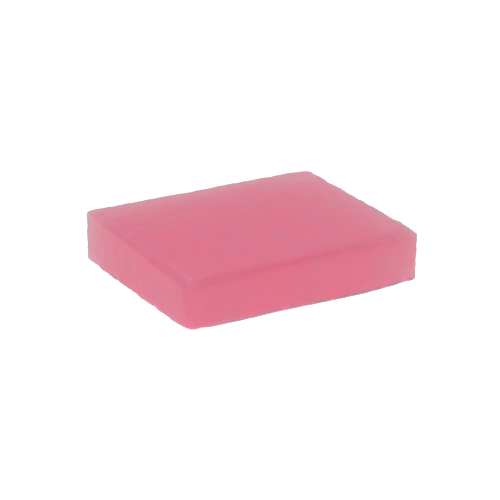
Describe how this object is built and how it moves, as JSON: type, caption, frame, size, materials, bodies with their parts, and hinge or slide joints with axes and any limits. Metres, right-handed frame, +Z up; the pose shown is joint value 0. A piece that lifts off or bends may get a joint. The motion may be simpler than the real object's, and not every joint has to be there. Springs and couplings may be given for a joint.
{
  "type": "clay bar",
  "caption": "Flat rectangular block of translucent pink detailing clay with softly rounded edges, used by hand to lift grit from car paint.",
  "frame": {"origin": "centre of the footprint, on the surface that the bar rests on", "axes": "+X along the long side towards the slightly lifted end, +Y along the short side, +Z up through the thickness"},
  "size_m": [0.072, 0.06, 0.015],
  "materials": {
    "clay": "satin, waxy and slightly translucent pink clay"
  },
  "bodies": {
    "root": {"clay_bar": "clay"}
  },
  "joints": []
}
